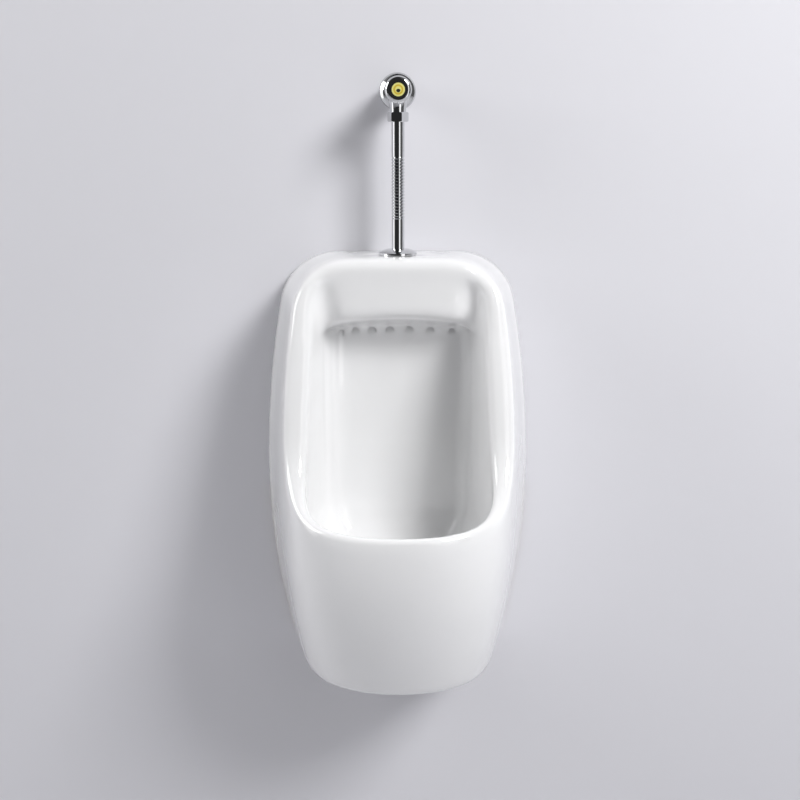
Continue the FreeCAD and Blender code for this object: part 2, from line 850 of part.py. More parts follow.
def inlet_filter():
    """A perforated disc in the mouth of the valve's shank."""
    near = -inlet_reach + filter_inset
    disc = level_rod(filter_seat_radius() - snug_gap, 0, valve_height, near, near + filter_height)
    for x, rise in ring_places(filter_ring_pitch, filter_ring_count):
        hole = level_rod(filter_hole_radius, x, valve_height + rise, near - overrun, near + overrun)
        disc = disc.cut(hole)
    return disc


def ring_places(pitch, count):
    """A centre place and rings of places around it, six more in each ring than in the last."""
    places = [(0, 0)]
    for k in range(1, count + 1):
        for n in range(6 * k):
            angle = full_turn * n / (6 * k)
            places.append((pitch * k * math.cos(angle), pitch * k * math.sin(angle)))
    return places


def wall_escutcheon():
    """The domed rosette that covers the hole in the wall around the valve's shank."""
    bore = shank_neck_radius + snug_gap
    knee = (escutcheon_radius + bore) / 2
    bend_share = 0.7
    bend = escutcheon_depth * bend_share
    return turned_level([
        (escutcheon_radius, 0), ("arc", (knee, bend), (bore, escutcheon_depth)),
        (bore, escutcheon_depth - escutcheon_wall),
        ("arc", (knee, bend - escutcheon_wall), (escutcheon_radius - escutcheon_wall, 0)),
    ], valve_height)


def valve_seat():
    """The brass seat ring, pressed in against the shoulder of the barrel's bore."""
    seat = level_ring(main_bore - snug_gap, valve_bore, valve_height, seat_start, seat_front)
    inner = [edge for edge in seat.Edges
             if edge.Closed and edge.BoundBox.XLength < 2 * valve_bore + same_place
             and abs(edge.CenterOfMass.y + seat_front) < same_place]
    return seat.makeChamfer(barrel_chamfer, inner)


def poppet():
    """The brass disc that closes the seat from behind."""
    return level_ring(poppet_radius, spindle_radius + snug_gap, valve_height, poppet_back, poppet_front)


def poppet_seal():
    """The rubber face of the poppet."""
    return level_ring(poppet_radius, spindle_radius + snug_gap, valve_height,
                      poppet_front, poppet_front + poppet_seal_height)


def spindle():
    """The stem from the poppet to the button, with a head that holds the poppet."""
    near = poppet_back - spindle_head
    stem = level_rod(spindle_radius, 0, valve_height, near, hub_back + hub_grip)
    return stem.fuse(level_rod(spindle_head_radius, 0, valve_height, near, poppet_back))


def spindle_oring():
    """The rubber ring that seals the stem in the bonnet."""
    centre = at(0, oring_start + oring_radius, valve_height)
    return Part.makeTorus(spindle_radius + running_gap + oring_radius, oring_radius, centre, outward)


def bonnet():
    """The screwed plug that closes the barrel, with a sleeve that the button slides over."""
    sleeve_end = barrel_end + sleeve_length
    thread = main_bore - snug_gap
    plug = turned_level([
        (0, plug_end), (thread, plug_end), (thread, bonnet_face),
        (bonnet_flange_radius, bonnet_face), (bonnet_flange_radius, barrel_end),
        (sleeve_radius, barrel_end), (sleeve_radius, sleeve_end), (0, sleeve_end),
    ], valve_height)
    gland = spindle_radius + running_gap + 2 * oring_radius + snug_gap
    gland_end = oring_start + 2 * oring_radius + snug_gap
    room_start = sleeve_end - sleeve_room_depth
    cuts = [
        level_rod(spindle_radius + running_gap, 0, valve_height, plug_end - overrun, sleeve_end),
        level_rod(sleeve_room_radius, 0, valve_height, room_start, sleeve_end + overrun),
        level_rod(gland, 0, valve_height, oring_start - snug_gap, gland_end),
    ]
    for cut in cuts:
        plug = plug.cut(cut)
    return plug


def bonnet_seal():
    """The flat gasket under the bonnet's flange."""
    return level_ring(bonnet_flange_radius, main_bore + hole_gap, valve_height, gasket_back, bonnet_face)


def return_spring():
    """The wire spring that closes the poppet and returns the button."""
    near = spring_room_start + spring_wire + snug_gap
    far = poppet_back - spring_wire - seat_gap
    pitch = (far - near) / spring_turns
    helix = Part.makeHelix(pitch, far - near, spring_radius)
    section = Part.Wire([Part.makeCircle(spring_wire, Vector(spring_radius, 0, 0), Vector(0, 1, 0))])
    coil = Part.Wire(helix.Edges).makePipeShell([section], True, True)
    coil.rotate(Vector(0, 0, 0), Vector(1, 0, 0), math.degrees(full_turn / 4))
    coil.translate(at(0, near, valve_height))
    return coil


def push_button():
    """The domed button with a hub for the stem and a recess for the inlay."""
    round_share = math.sqrt(1 / 2)
    corner = button_radius - button_edge_radius
    bend = (corner + button_edge_radius * round_share,
            button_front - button_edge_radius * (1 - round_share))
    floor = button_front - button_front_wall
    button = turned_level([
        (0, hub_back), (hub_radius, hub_back), (hub_radius, floor), (button_room_radius, floor),
        (button_room_radius, button_back), (button_radius, button_back),
        (button_radius, button_front - button_edge_radius), ("arc", bend, (corner, button_front)),
        (0, button_front),
    ], valve_height)
    button = button.cut(level_rod(spindle_radius + snug_gap, 0, valve_height, hub_back - overrun,
                                  hub_back + hub_grip))
    return button.cut(level_rod(inlay_ring_radius + snug_gap, 0, valve_height,
                                button_front - inlay_depth, button_front + overrun))


def button_ring():
    """The dark ring of the inlay."""
    return level_ring(inlay_ring_radius, inlay_disc_radius + snug_gap, valve_height,
                      button_front - inlay_depth, button_front)


def button_disc():
    """The slightly crowned coloured disc in the middle of the inlay."""
    crest = button_front + disc_crown
    reach = inlay_disc_radius / 2
    knee = (reach, crest - crown_fall(inlay_disc_radius, disc_crown, reach))
    return turned_level([
        (0, button_front - inlay_depth), (inlay_disc_radius, button_front - inlay_depth),
        (inlay_disc_radius, button_front), ("arc", knee, (0, crest)),
    ], valve_height)


def waste_flange_piece():
    """The waste fitting: a flange in the bowl's floor on a threaded tail."""
    seat_floor = waste_face + waste_flange - strainer_recess
    fitting = turned([
        (waste_bore, waste_tail_end), (waste_thread_radius, waste_tail_end),
        (waste_thread_radius, waste_face), (waste_flange_radius, waste_face),
        (waste_flange_radius, waste_face + waste_flange),
        (strainer_radius + hole_gap, waste_face + waste_flange),
        (strainer_radius + hole_gap, seat_floor), (strainer_radius - strainer_seat_width, seat_floor),
        (waste_bore, seat_floor - strainer_recess),
    ], drain_place)
    return fitting


def waste_upper_ring():
    """The seal between the bowl's floor and the flange."""
    return ring(waste_seal_radius, waste_thread_radius + hole_gap, drain_place, drain_seat, waste_face)


def waste_lower_ring():
    """The seal under the bowl, squeezed by the locknut."""
    return ring(waste_seal_radius, waste_thread_radius + hole_gap, drain_place,
                boss_under - waste_lower_seal, boss_under)


def waste_locknut():
    """The hexagon nut that holds the waste fitting from below."""
    low = boss_under - waste_lower_seal - locknut_height
    base = at(0, drain_depth, low)
    nut = chamfered_hexagon(locknut_flats, base, up, 0, locknut_height, nut_chamfer)
    return nut.cut(rod(waste_thread_radius + snug_gap, drain_place, low - overrun, boss_under))


def strainer():
    """The loose domed strainer, which is lifted out by its knob to clean the trap."""
    low = waste_face + waste_flange - strainer_recess + seat_gap
    rim = low + strainer_wall
    crest = rim + strainer_crown
    inner = strainer_radius - strainer_seat_width
    reach = inner / 2
    outer_knee = (reach, crest - crown_fall(strainer_radius, strainer_crown, reach))
    inner_knee = (reach, low + strainer_crown - crown_fall(inner, strainer_crown, reach))
    dome = turned([
        (0, crest), ("arc", outer_knee, (strainer_radius, rim)), (strainer_radius, low), (inner, low),
        ("arc", inner_knee, (0, low + strainer_crown)),
    ], drain_place)
    for x, y in ring_places(strainer_ring_pitch, strainer_ring_count)[1:]:
        place = (x, drain_depth + y)
        dome = dome.cut(rod(strainer_hole_radius, place, low - overrun, crest + overrun))
    knob = rod(strainer_knob_radius, drain_place, crest - strainer_wall, crest + strainer_knob_height)
    tops = [edge for edge in knob.Edges if edge.Closed and edge.CenterOfMass.z > crest]
    return dome.fuse(knob.makeFillet(strainer_knob_radius / 2, tops))


def trap_bend():
    """The swan-neck trap from the waste fitting up and back towards the wall."""
    start = waste_tail_end - trap_washer
    turn = top_height - trap_turn_drop
    rise_depth = drain_depth - 2 * trap_bend_radius
    elbow_low = outlet_height - trap_bend_radius
    elbow_depth = rise_depth - trap_bend_radius
    thread_end = trap_end_depth + trap_thread_length
    half = math.sqrt(1 / 2)
    middle = drain_depth - trap_bend_radius

    def path_at(depth, z):
        return at(0, depth, z)

    bend = Part.Arc(path_at(drain_depth, turn), path_at(middle, turn - trap_bend_radius),
                    path_at(rise_depth, turn)).toShape()
    elbow_middle = path_at(rise_depth - trap_bend_radius * (1 - half),
                           outlet_height - trap_bend_radius * (1 - half))
    elbow = Part.Arc(path_at(rise_depth, elbow_low), elbow_middle,
                     path_at(elbow_depth, outlet_height)).toShape()
    route = Part.Wire([
        Part.makeLine(path_at(drain_depth, start), path_at(drain_depth, turn)),
        bend,
        Part.makeLine(path_at(rise_depth, turn), path_at(rise_depth, elbow_low)),
        elbow,
        Part.makeLine(path_at(elbow_depth, outlet_height), path_at(trap_end_depth, outlet_height)),
    ])

    def tube(radius):
        section = Part.Wire([Part.makeCircle(radius, path_at(drain_depth, start), up)])
        return route.makePipeShell([section], True, False)

    collar = rod(trap_collar_radius, drain_place, start - trap_collar, start)
    thread = level_rod(waste_thread_radius, 0, outlet_height, trap_end_depth, thread_end)
    return tube(trap_radius).fuse(collar).fuse(thread).cut(tube(trap_radius - trap_wall))


def trap_inlet_washer():
    """The seal between the waste fitting's tail and the trap's collar."""
    return ring(trap_collar_radius, trap_radius, drain_place, waste_tail_end - trap_washer, waste_tail_end)


def trap_inlet_nut():
    """The union nut that holds the trap to the waste fitting."""
    low = waste_tail_end - trap_washer - trap_collar - union_lip
    base = at(0, drain_depth, low)
    nut = chamfered_hexagon(union_flats, base, up, 0, union_length, nut_chamfer)
    nut = nut.cut(rod(trap_radius + hole_gap, drain_place, low - overrun, low + overrun))
    thread = rod(waste_thread_radius + snug_gap, drain_place, low + union_lip, low + union_length + overrun)
    return nut.cut(thread)


def outlet_washer():
    """The seal between the trap's end and the outlet tube's collar."""
    return level_ring(trap_collar_radius, trap_radius, outlet_height, trap_end_depth - trap_washer,
                      trap_end_depth)


def outlet_tube():
    """The tube from the trap into the drain socket in the wall."""
    end = trap_end_depth - trap_washer
    bore = trap_radius - trap_wall
    tube = level_ring(trap_radius, bore, outlet_height, -outlet_reach, end)
    bead_end = -wall_seal_length
    bead = level_ring(stop_bead_radius, bore, outlet_height, bead_end - stop_bead, bead_end)
    collar = level_ring(trap_collar_radius, bore, outlet_height, end - trap_collar, end)
    return tube.fuse(bead).fuse(collar)


def outlet_nut():
    """The union nut that holds the outlet tube to the trap."""
    near = trap_end_depth - trap_washer - trap_collar - union_lip
    nut = chamfered_hexagon(union_flats, at(0, near, outlet_height), outward, 0, union_length, nut_chamfer)
    nut = nut.cut(level_rod(trap_radius + hole_gap, 0, outlet_height, near - overrun, near + overrun))
    thread = level_rod(waste_thread_radius + snug_gap, 0, outlet_height, near + union_lip,
                       near + union_length + overrun)
    return nut.cut(thread)


def outlet_wall_seal():
    """The rubber ring around the outlet tube in the wall's socket."""
    return level_ring(wall_seal_radius, trap_radius + snug_gap, outlet_height, -wall_seal_length, 0)


pieces = {
    "ceramic_body": ceramic_body,
    "hanger_bracket_left": lambda: hanger_bracket(-1),
    "hanger_bracket_right": lambda: hanger_bracket(1),
    "hanger_washers": hanger_washers,
    "hanger_nuts": hanger_nuts,
    "wall_studs": wall_studs,
    "spud_seal": spud_seal,
    "spud_cover": spud_cover,
    "flush_pipe": flush_pipe,
    "coupling_nut": coupling_nut,
    "coupling_washer": coupling_washer,
    "valve_body": valve_body,
    "wall_escutcheon": wall_escutcheon,
    "inlet_filter": inlet_filter,
    "valve_seat": valve_seat,
    "poppet": poppet,
    "poppet_seal": poppet_seal,
    "spindle": spindle,
    "spindle_oring": spindle_oring,
    "bonnet": bonnet,
    "bonnet_seal": bonnet_seal,
    "return_spring": return_spring,
    "push_button": push_button,
    "button_ring": button_ring,
    "button_disc": button_disc,
    "waste_flange": waste_flange_piece,
    "waste_upper_seal": waste_upper_ring,
    "waste_lower_seal": waste_lower_ring,
    "waste_locknut": waste_locknut,
    "strainer": strainer,
    "trap_bend": trap_bend,
    "trap_inlet_washer": trap_inlet_washer,
    "trap_inlet_nut": trap_inlet_nut,
    "outlet_washer": outlet_washer,
    "outlet_nut": outlet_nut,
    "outlet_tube": outlet_tube,
    "outlet_wall_seal": outlet_wall_seal,
}

os.makedirs("parts", exist_ok=True)
for name, make in pieces.items():
    save(name, make())
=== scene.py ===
"""Looks of the wall-hung urinal: glazed body, chromed push valve and ribbed flush pipe. Metres."""
import json
import math

import bmesh
import bpy
import numpy as np
from mathutils import Matrix, Vector
from mathutils.bvhtree import BVHTree
from mathutils.kdtree import KDTree


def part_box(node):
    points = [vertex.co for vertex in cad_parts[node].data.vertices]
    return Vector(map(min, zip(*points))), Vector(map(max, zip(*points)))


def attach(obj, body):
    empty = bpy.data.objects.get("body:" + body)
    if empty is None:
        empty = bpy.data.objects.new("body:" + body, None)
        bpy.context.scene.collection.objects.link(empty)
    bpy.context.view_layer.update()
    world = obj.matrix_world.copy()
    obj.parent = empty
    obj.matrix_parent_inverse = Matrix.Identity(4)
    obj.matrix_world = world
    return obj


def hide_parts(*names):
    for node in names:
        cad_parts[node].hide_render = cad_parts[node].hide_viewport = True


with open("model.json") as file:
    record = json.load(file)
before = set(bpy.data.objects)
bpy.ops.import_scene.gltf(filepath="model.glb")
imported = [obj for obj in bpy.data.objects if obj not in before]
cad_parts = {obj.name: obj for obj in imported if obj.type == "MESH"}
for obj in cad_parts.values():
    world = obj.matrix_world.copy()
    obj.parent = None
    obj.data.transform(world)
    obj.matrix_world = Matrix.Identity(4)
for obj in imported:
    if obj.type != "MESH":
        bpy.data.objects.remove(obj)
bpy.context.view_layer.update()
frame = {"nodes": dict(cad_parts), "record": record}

# The camera stands in front of the wall, a little left of the object, and looks down at it
camera_place = Vector((-0.018, -1.595, 0.3471))
camera_pitch = math.radians(13.59)
camera_yaw = math.radians(0.768)
camera_lens = 51.75
camera_sensor = 36

# The room: a pale wall at Y = 0 and a pale floor well below the object
wall_colour = (0.735, 0.732, 0.770)
floor_colour = (0.56, 0.56, 0.58)
dark_share = 0.985
floor_height = -0.77
room_reach = 4.0
wall_gap = 0.0004

# Lamps, each with its azimuth from the front (to the right positive), elevation, distance, width,
# height and power
object_middle = Vector((0.0, -0.08, 0.05))
lamps = {
    "key": (math.radians(46), math.radians(38), 3.2, 1.0, 1.0, 83.0),
    "right_strip": (math.radians(31), math.radians(8), 2.5, 0.95, 2.0, 8.0),
    "left_strip": (math.radians(-81), math.radians(5), 2.5, 0.8, 2.0, 8.0),
    "left_fill": (math.radians(-82), math.radians(28), 2.5, 1.3, 1.2, 27.0),
}
# The surrounding's brightness by azimuth: (share of the full turn from the back over the left, grey)
surround_shares = ((0.0, 0.5), (0.25, 0.5), (0.30, 0.2), (0.36, 0.03),
                   (0.53, 0.03), (0.56, 0.12), (0.75, 0.12), (0.76, 0.5))
surround_blue = 1.02

# The disc's printed pattern, in shares of the disc's radius
ring_share = 0.62
ring_edge_shares = (0.10, 0.16)
drop_low_share = 0.10
drop_taper_shares = (-0.05, 0.42)
drop_reach_share = 0.30
drop_edge_share = 0.04

# The body's glaze is rounded off on a fine grid of this pitch, more so in its soft zones
grid_pitch = 0.002
grid_kept_share = 0.32
even_rounds = 12
zone_rounds = (60, 90, 160)

# Its shading follows the fine grid, evened further where the surface turns by less than these angles
normal_rounds = 16
flat_rounds = 50
flat_turns = (math.radians(3), math.radians(10))
own_normal_share = 0.5

# Bare clay is what faces the wall or sees it from below
skin_probe = 0.0005
wall_facing = 0.7

# The soft zones follow the bowl's opening and the sloping rim. Drops are below the body's top.
opening_start = (0.050, 0.093)
opening_flare = 0.27
edge_reach = 0.009
panel_reach = 0.004
rim_start = 0.110
rim_slope = math.radians(57)
rim_reach = 0.030
edge_low = 0.280
panel_drops = (0.012, 0.100)
panel_depth = 0.070
cove_depths = (0.042, 0.080)
cove_drops = (0.078, 0.096)
crease_drop = 0.030
crease_half_width = 0.135
crease_depth = 0.080
groove_start = 0.080
groove_depths = (0.070, 0.115)

# The seven flat rinse holes under the spreader, which the rounding closes, are opened again. Their
# drop is that of the middle hole, and the others follow the spreader's arch.
hole_count = 7
hole_pitch = 0.0254
hole_shift = -0.0108
hole_growth = 0.038
hole_half_width = 0.006
hole_half_thickness = 0.002
hole_tilt = math.radians(66)
hole_drop = 0.1009
hole_length = 0.014
hole_sides = 32
arch_radius = 0.7238
search_depth = 0.090
search_reach = 0.006


def node_object(name):
    """The frame's own object for a sub-part."""
    return frame["nodes"][name]


class Shader:
    """A material's node tree with short calls for the nodes that are used here."""

    def __init__(self, name):
        self.material = bpy.data.materials.new(name)
        self.material.use_nodes = True
        self.tree = self.material.node_tree
        self.surface = self.tree.nodes["Principled BSDF"]
        self.place = self.add("ShaderNodeTexCoord").outputs["Object"]

    def add(self, kind, **values):
        """A new node with its properties set."""
        node = self.tree.nodes.new(kind)
        for key, value in values.items():
            setattr(node, key, value)
        return node

    def link(self, source, target):
        """Join an output to an input."""
        self.tree.links.new(source, target)

    def set(self, **values):
        """Set plain values on the surface shader, by input name with underscores for spaces."""
        for key, value in values.items():
            self.surface.inputs[key.replace("_", " ")].default_value = value

    def noise(self, scale, detail=2.0, stretch=(1, 1, 1)):
        """A noise pattern in object space, from 0 to 1."""
        mapping = self.add("ShaderNodeMapping")
        mapping.inputs["Scale"].default_value = stretch
        self.link(self.place, mapping.inputs["Vector"])
        texture = self.add("ShaderNodeTexNoise")
        texture.inputs["Scale"].default_value = scale
        texture.inputs["Detail"].default_value = detail
        self.link(mapping.outputs["Vector"], texture.inputs["Vector"])
        return texture.outputs["Fac"]

    def spread(self, source, low, high, start=0.3, end=0.7):
        """A value moved from the range start to end into the range low to high."""
        node = self.add("ShaderNodeMapRange")
        for key, value in (("From Min", start), ("From Max", end), ("To Min", low), ("To Max", high)):
            node.inputs[key].default_value = value
        self.link(source, node.inputs["Value"])
        return node.outputs["Result"]

    def blend(self, factor, first, second):
        """A colour between two colours or colour outputs."""
        node = self.add("ShaderNodeMix", data_type="RGBA")
        self.link(factor, node.inputs["Factor"])
        for key, value in (("A", first), ("B", second)):
            socket = [s for s in node.inputs if s.name == key and s.type == "RGBA"][0]
            if hasattr(value, "links"):
                self.link(value, socket)
            else:
                socket.default_value = (*value, 1)
        return [s for s in node.outputs if s.type == "RGBA"][0]

    def bump(self, source, strength, distance):
        """Relief on the surface from a pattern."""
        node = self.add("ShaderNodeBump")
        node.inputs["Strength"].default_value = strength
        node.inputs["Distance"].default_value = distance
        self.link(source, node.inputs["Height"])
        self.link(node.outputs["Normal"], self.surface.inputs["Normal"])

    def maths(self, operation, first, second):
        """The result of a sum on outputs or plain numbers."""
        node = self.add("ShaderNodeMath", operation=operation)
        for socket, value in zip(node.inputs, (first, second)):
            if hasattr(value, "links"):
                self.link(value, socket)
            else:
                socket.default_value = value
        return node.outputs["Value"]

    def sum(self, first, second):
        """Two values added."""
        return self.maths("ADD", first, second)

    def difference(self, first, second):
        """The first value less the second."""
        return self.maths("SUBTRACT", first, second)

    def gap(self, first, second):
        """How far two values are apart."""
        return self.maths("ABSOLUTE", self.difference(first, second), 0)

    def length(self, first, second):
        """The length of a flat vector from its two parts."""
        squares = self.sum(self.maths("MULTIPLY", first, first), self.maths("MULTIPLY", second, second))
        return self.maths("SQRT", squares, 0)

    def colour(self, source):
        """Drive the base colour."""
        self.link(source, self.surface.inputs["Base Color"])

    def roughness(self, source):
        """Drive the roughness."""
        self.link(source, self.surface.inputs["Roughness"])


def glaze():
    """White sanitary glaze: bright, slightly wavy and barely uneven in tone."""
    shader = Shader("white_glaze")
    shader.colour(shader.blend(shader.noise(9, 3), (0.865, 0.867, 0.873), (0.90, 0.90, 0.902)))
    shader.roughness(shader.spread(shader.noise(30, 3), 0.045, 0.085))
    shader.bump(shader.noise(38, 1), 0.05, 0.0012)
    shader.set(IOR=1.52, Coat_Weight=0.35, Coat_Roughness=0.03)
    return shader.material


def disc_paint():
    """Pale yellow disc with a printed golden ring round a dark drop."""
    shader = Shader("printed_disc")
    low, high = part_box("button_disc")
    middle = (Vector(low) + Vector(high)) / 2
    radius = (high[0] - low[0]) / 2
    offset = shader.add("ShaderNodeVectorMath", operation="SUBTRACT")
    shader.link(shader.place, offset.inputs[0])
    offset.inputs[1].default_value = middle
    parts = shader.add("ShaderNodeSeparateXYZ")
    shader.link(offset.outputs["Vector"], parts.inputs["Vector"])
    across, rise = parts.outputs["X"], parts.outputs["Z"]
    reach = shader.length(across, rise)
    ring_edge = [share * radius for share in ring_edge_shares]
    ring = shader.spread(shader.gap(reach, ring_share * radius), 1, 0, *ring_edge)
    drop_reach = shader.length(across, shader.sum(rise, drop_low_share * radius))
    taper_ends = [share * radius for share in drop_taper_shares]
    taper = shader.spread(rise, drop_reach_share * radius, 0.0, *taper_ends)
    drop = shader.spread(shader.difference(drop_reach, taper), 1, 0, 0, drop_edge_share * radius)
    gold = shader.blend(ring, (0.74, 0.70, 0.24), (0.62, 0.46, 0.05))
    shader.colour(shader.blend(drop, gold, (0.03, 0.03, 0.02)))
    shader.roughness(shader.spread(shader.noise(300, 4), 0.14, 0.24))
    shader.bump(shader.noise(60, 3), 0.03, 0.0002)
    return shader.material


def biscuit():
    """Unglazed fired clay inside the skirt and on the edges that meet the wall."""
    shader = Shader("fired_clay")
    shader.colour(shader.blend(shader.noise(60, 6), (0.70, 0.665, 0.61), (0.80, 0.77, 0.72)))
    shader.roughness(shader.spread(shader.noise(200, 4), 0.75, 0.92))
    shader.bump(shader.noise(900, 4), 0.25, 0.0004)
    return shader.material


def chrome():
    """Polished chrome with faint handling marks."""
    shader = Shader("mirror_chrome")
    shader.colour(shader.blend(shader.noise(120, 3), (0.62, 0.625, 0.635), (0.70, 0.705, 0.715)))
    shader.roughness(shader.spread(shader.noise(260, 5), 0.03, 0.09))
    shader.bump(shader.noise(700, 2), 0.03, 0.0002)
    shader.set(Metallic=1.0)
    return shader.material


def brushed(name, dark, light, roughness, stretch):
    """Metal with a fine drawn grain."""
    shader = Shader(name)
    grain = shader.noise(1400, 3, stretch)
    shader.colour(shader.blend(grain, dark, light))
    shader.roughness(shader.spread(shader.noise(500, 4, stretch), roughness - 0.06, roughness + 0.08))
    shader.bump(grain, 0.08, 0.0002)
    shader.set(Metallic=1.0)
    return shader.material


def moulded(name, dark, light, roughness, grain_scale, grain_strength):
    """Rubber or plastic with a moulded surface."""
    shader = Shader(name)
    shader.colour(shader.blend(shader.noise(150, 4), dark, light))
    shader.roughness(shader.spread(shader.noise(300, 4), roughness - 0.05, roughness + 0.07))
    shader.bump(shader.noise(grain_scale, 3), grain_strength, 0.0002)
    return shader.material


def finish_materials():
    """One material for each of the record's slots."""
    return {
        "glazed_white": glaze(),
        "zinc_steel": brushed("zinc_plate", (0.50, 0.52, 0.55), (0.68, 0.70, 0.72), 0.34, (1, 1, 0.2)),
        "chrome": chrome(),
        "stainless": brushed("stainless", (0.60, 0.61, 0.62), (0.76, 0.76, 0.77), 0.26, (0.15, 1, 1)),
        "brass": brushed("turned_brass", (0.66, 0.46, 0.18), (0.84, 0.64, 0.32), 0.24, (1, 0.1, 1)),
        "black_rubber": moulded("black_rubber", (0.018, 0.018, 0.019), (0.035, 0.035, 0.036),
                                0.62, 500, 0.2),
        "gasket_fibre": moulded("pressed_fibre", (0.34, 0.10, 0.07), (0.46, 0.17, 0.12), 0.8, 900, 0.4),
        "black_plastic": moulded("black_gloss", (0.012, 0.012, 0.013), (0.022, 0.022, 0.024),
                                 0.16, 60, 0.03),
        "yellow_plastic": disc_paint(),
    }


def dress_nodes(materials):
    """Give every sub-part the material of its slot."""
    for row in frame["record"]["subparts"]:
        piece = node_object(row["node"])
        for slot in piece.material_slots:
            slot.material = materials[row["material_slot"]]


def relax(points, edges, weight, rounds):
    """Move each point towards the middle of its neighbours, as far as its weight says."""
    first, second = edges[:, 0], edges[:, 1]
    count = len(points)
    ends = np.bincount(first, minlength=count) + np.bincount(second, minlength=count)
    share = (weight / 2)[:, None]
    for _ in range(rounds):
        total = np.empty_like(points)
        for axis in range(points.shape[1]):
            column = points[:, axis]
            total[:, axis] = (np.bincount(first, column[second], count)
                              + np.bincount(second, column[first], count))
        points = points + share * (total / ends[:, None] - points)
    return points


def body_top():
    """The height of the body's top."""
    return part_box("ceramic_body")[1][2]


def between(values, ends):
    """Which values lie between two ends."""
    return (values > ends[0]) & (values < ends[1])


def soft_zones(points):
    """Where the glaze runs into wider and wider curves: the rim's inner edge, the spreader's front with the
    crease above it, and the cove below the spreader with the grooves beside it."""
    drop = body_top() - points[:, 2]
    depth = -points[:, 1]
    across = np.abs(points[:, 0])
    opening = opening_start[1] + opening_flare * (depth - opening_start[0])
    rim_line = rim_start + drop / math.tan(rim_slope)
    inner_edge = (across < opening + edge_reach) & (drop < edge_low) & (depth > rim_line - rim_reach)
    in_reach = across < opening + panel_reach
    front = in_reach & (depth > panel_depth) & between(drop, panel_drops)
    crease = (drop < crease_drop) & (across < crease_half_width) & (depth > crease_depth)
    cove = (across < opening) & between(depth, cove_depths) & between(drop, cove_drops)
    groove = in_reach & (across > groove_start) & between(depth, groove_depths) & between(drop, panel_drops)
    return inner_edge, front | crease, cove | groove


def soften_body(materials):
    """The body with its edges rounded as glaze rounds them, and bare clay where it meets the wall."""
    piece = bpy.data.objects.new("glazed_body", node_object("ceramic_body").data.copy())
    bpy.context.scene.collection.objects.link(piece)
    grid = piece.modifiers.new("grid", "REMESH")
    grid.mode = "VOXEL"
    grid.voxel_size = grid_pitch
    set_mesh(piece, applied(piece))
    points, normals = round_off(piece.data)
    open_rinse_holes(piece.data)
    thin = piece.modifiers.new("thin", "DECIMATE")
    thin.ratio = grid_kept_share
    set_mesh(piece, applied(piece))
    mesh = piece.data
    mesh.polygons.foreach_set("use_smooth", [True] * len(mesh.polygons))
    smooth_shading(mesh, points, normals)
    mesh.materials.clear()
    mesh.materials.append(materials["glazed_white"])
    mesh.materials.append(biscuit())
    mesh.polygons.foreach_set("material_index", bare_faces(mesh))
    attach(piece, "fixture")
    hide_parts("ceramic_body")


def round_off(mesh):
    """Round the fine grid, most in its soft zones, and give its points and its evened normals."""
    points = vertex_values(mesh.vertices, "co")
    edges = np.empty(len(mesh.edges) * 2, dtype=np.int64)
    mesh.edges.foreach_get("vertices", edges)
    edges = edges.reshape(-1, 2)
    everywhere = np.ones(len(points))
    points = relax(points, edges, everywhere, even_rounds)
    for zone, rounds in zip(soft_zones(points), zone_rounds):
        weight = relax(zone.astype(float)[:, None], edges, everywhere, even_rounds)[:, 0]
        points = relax(points, edges, weight, rounds)
    mesh.vertices.foreach_set("co", points.ravel())
    mesh.update()
    normals = unit(relax(vertex_values(mesh.vertices, "normal"), edges, everywhere, normal_rounds))
    return points, even_flats(normals, unit(relax(normals, edges, everywhere, flat_rounds)))


def vertex_values(vertices, name):
    """A three-part value of every vertex, as rows."""
    values = np.empty(len(vertices) * 3)
    vertices.foreach_get(name, values)
    return values.reshape(-1, 3)


def unit(rows):
    """Rows made one long."""
    return rows / np.linalg.norm(rows, axis=1)[:, None]


def even_flats(normals, evened):
    """The evened normals where the surface is nearly flat, and the plain ones where it turns."""
    turn = np.arccos(np.clip((normals * evened).sum(axis=1), -1, 1))
    share = np.clip((flat_turns[1] - turn) / (flat_turns[1] - flat_turns[0]), 0, 1)[:, None]
    return unit(share * evened + (1 - share) * normals)


class RinseHole:
    """A flat hole that rises steeply through the softened back wall from one spot of its skin."""

    def __init__(self, tree, spot):
        self.tree = tree
        self.spot = spot
        self.slant = Matrix.Rotation(hole_tilt - math.pi / 2, 3, "X")
        self.axis = self.slant @ Vector((0, 0, 1))

    def on_skin(self, angle):
        """The point of the hole's outline at an angle, on the skin."""
        across = hole_half_width * math.cos(angle)
        rise = hole_half_thickness * math.sin(angle)
        start = self.spot + self.slant @ Vector((across, rise, -search_reach))
        return self.tree.ray_cast(start, self.axis)[0]

    def to_outline(self, point):
        """The point of the outline that lies in the same direction as a point."""
        flat = self.slant.transposed() @ (point - self.spot)
        return self.on_skin(math.atan2(flat.y / hole_half_thickness, flat.x / hole_half_width))

    def inside(self, middles):
        """The numbers of the faces whose middles lie in the hole's mouth."""
        local = (middles - np.array(self.spot)) @ np.array(self.slant)
        reach = (local[:, 0] / hole_half_width) ** 2 + (local[:, 1] / hole_half_thickness) ** 2
        return np.flatnonzero((reach < 1) & (np.abs(local[:, 2]) < search_reach))

    def line(self, shell):
        """Line the hole with a short tube."""
        near = [self.on_skin(2 * math.pi * side / hole_sides) for side in range(hole_sides)]
        near = [shell.verts.new(point) for point in near]
        far = [shell.verts.new(corner.co + self.axis * hole_length) for corner in near]
        for side in range(hole_sides):
            after = (side + 1) % hole_sides
            shell.faces.new((near[side], far[side], far[after], near[after]))


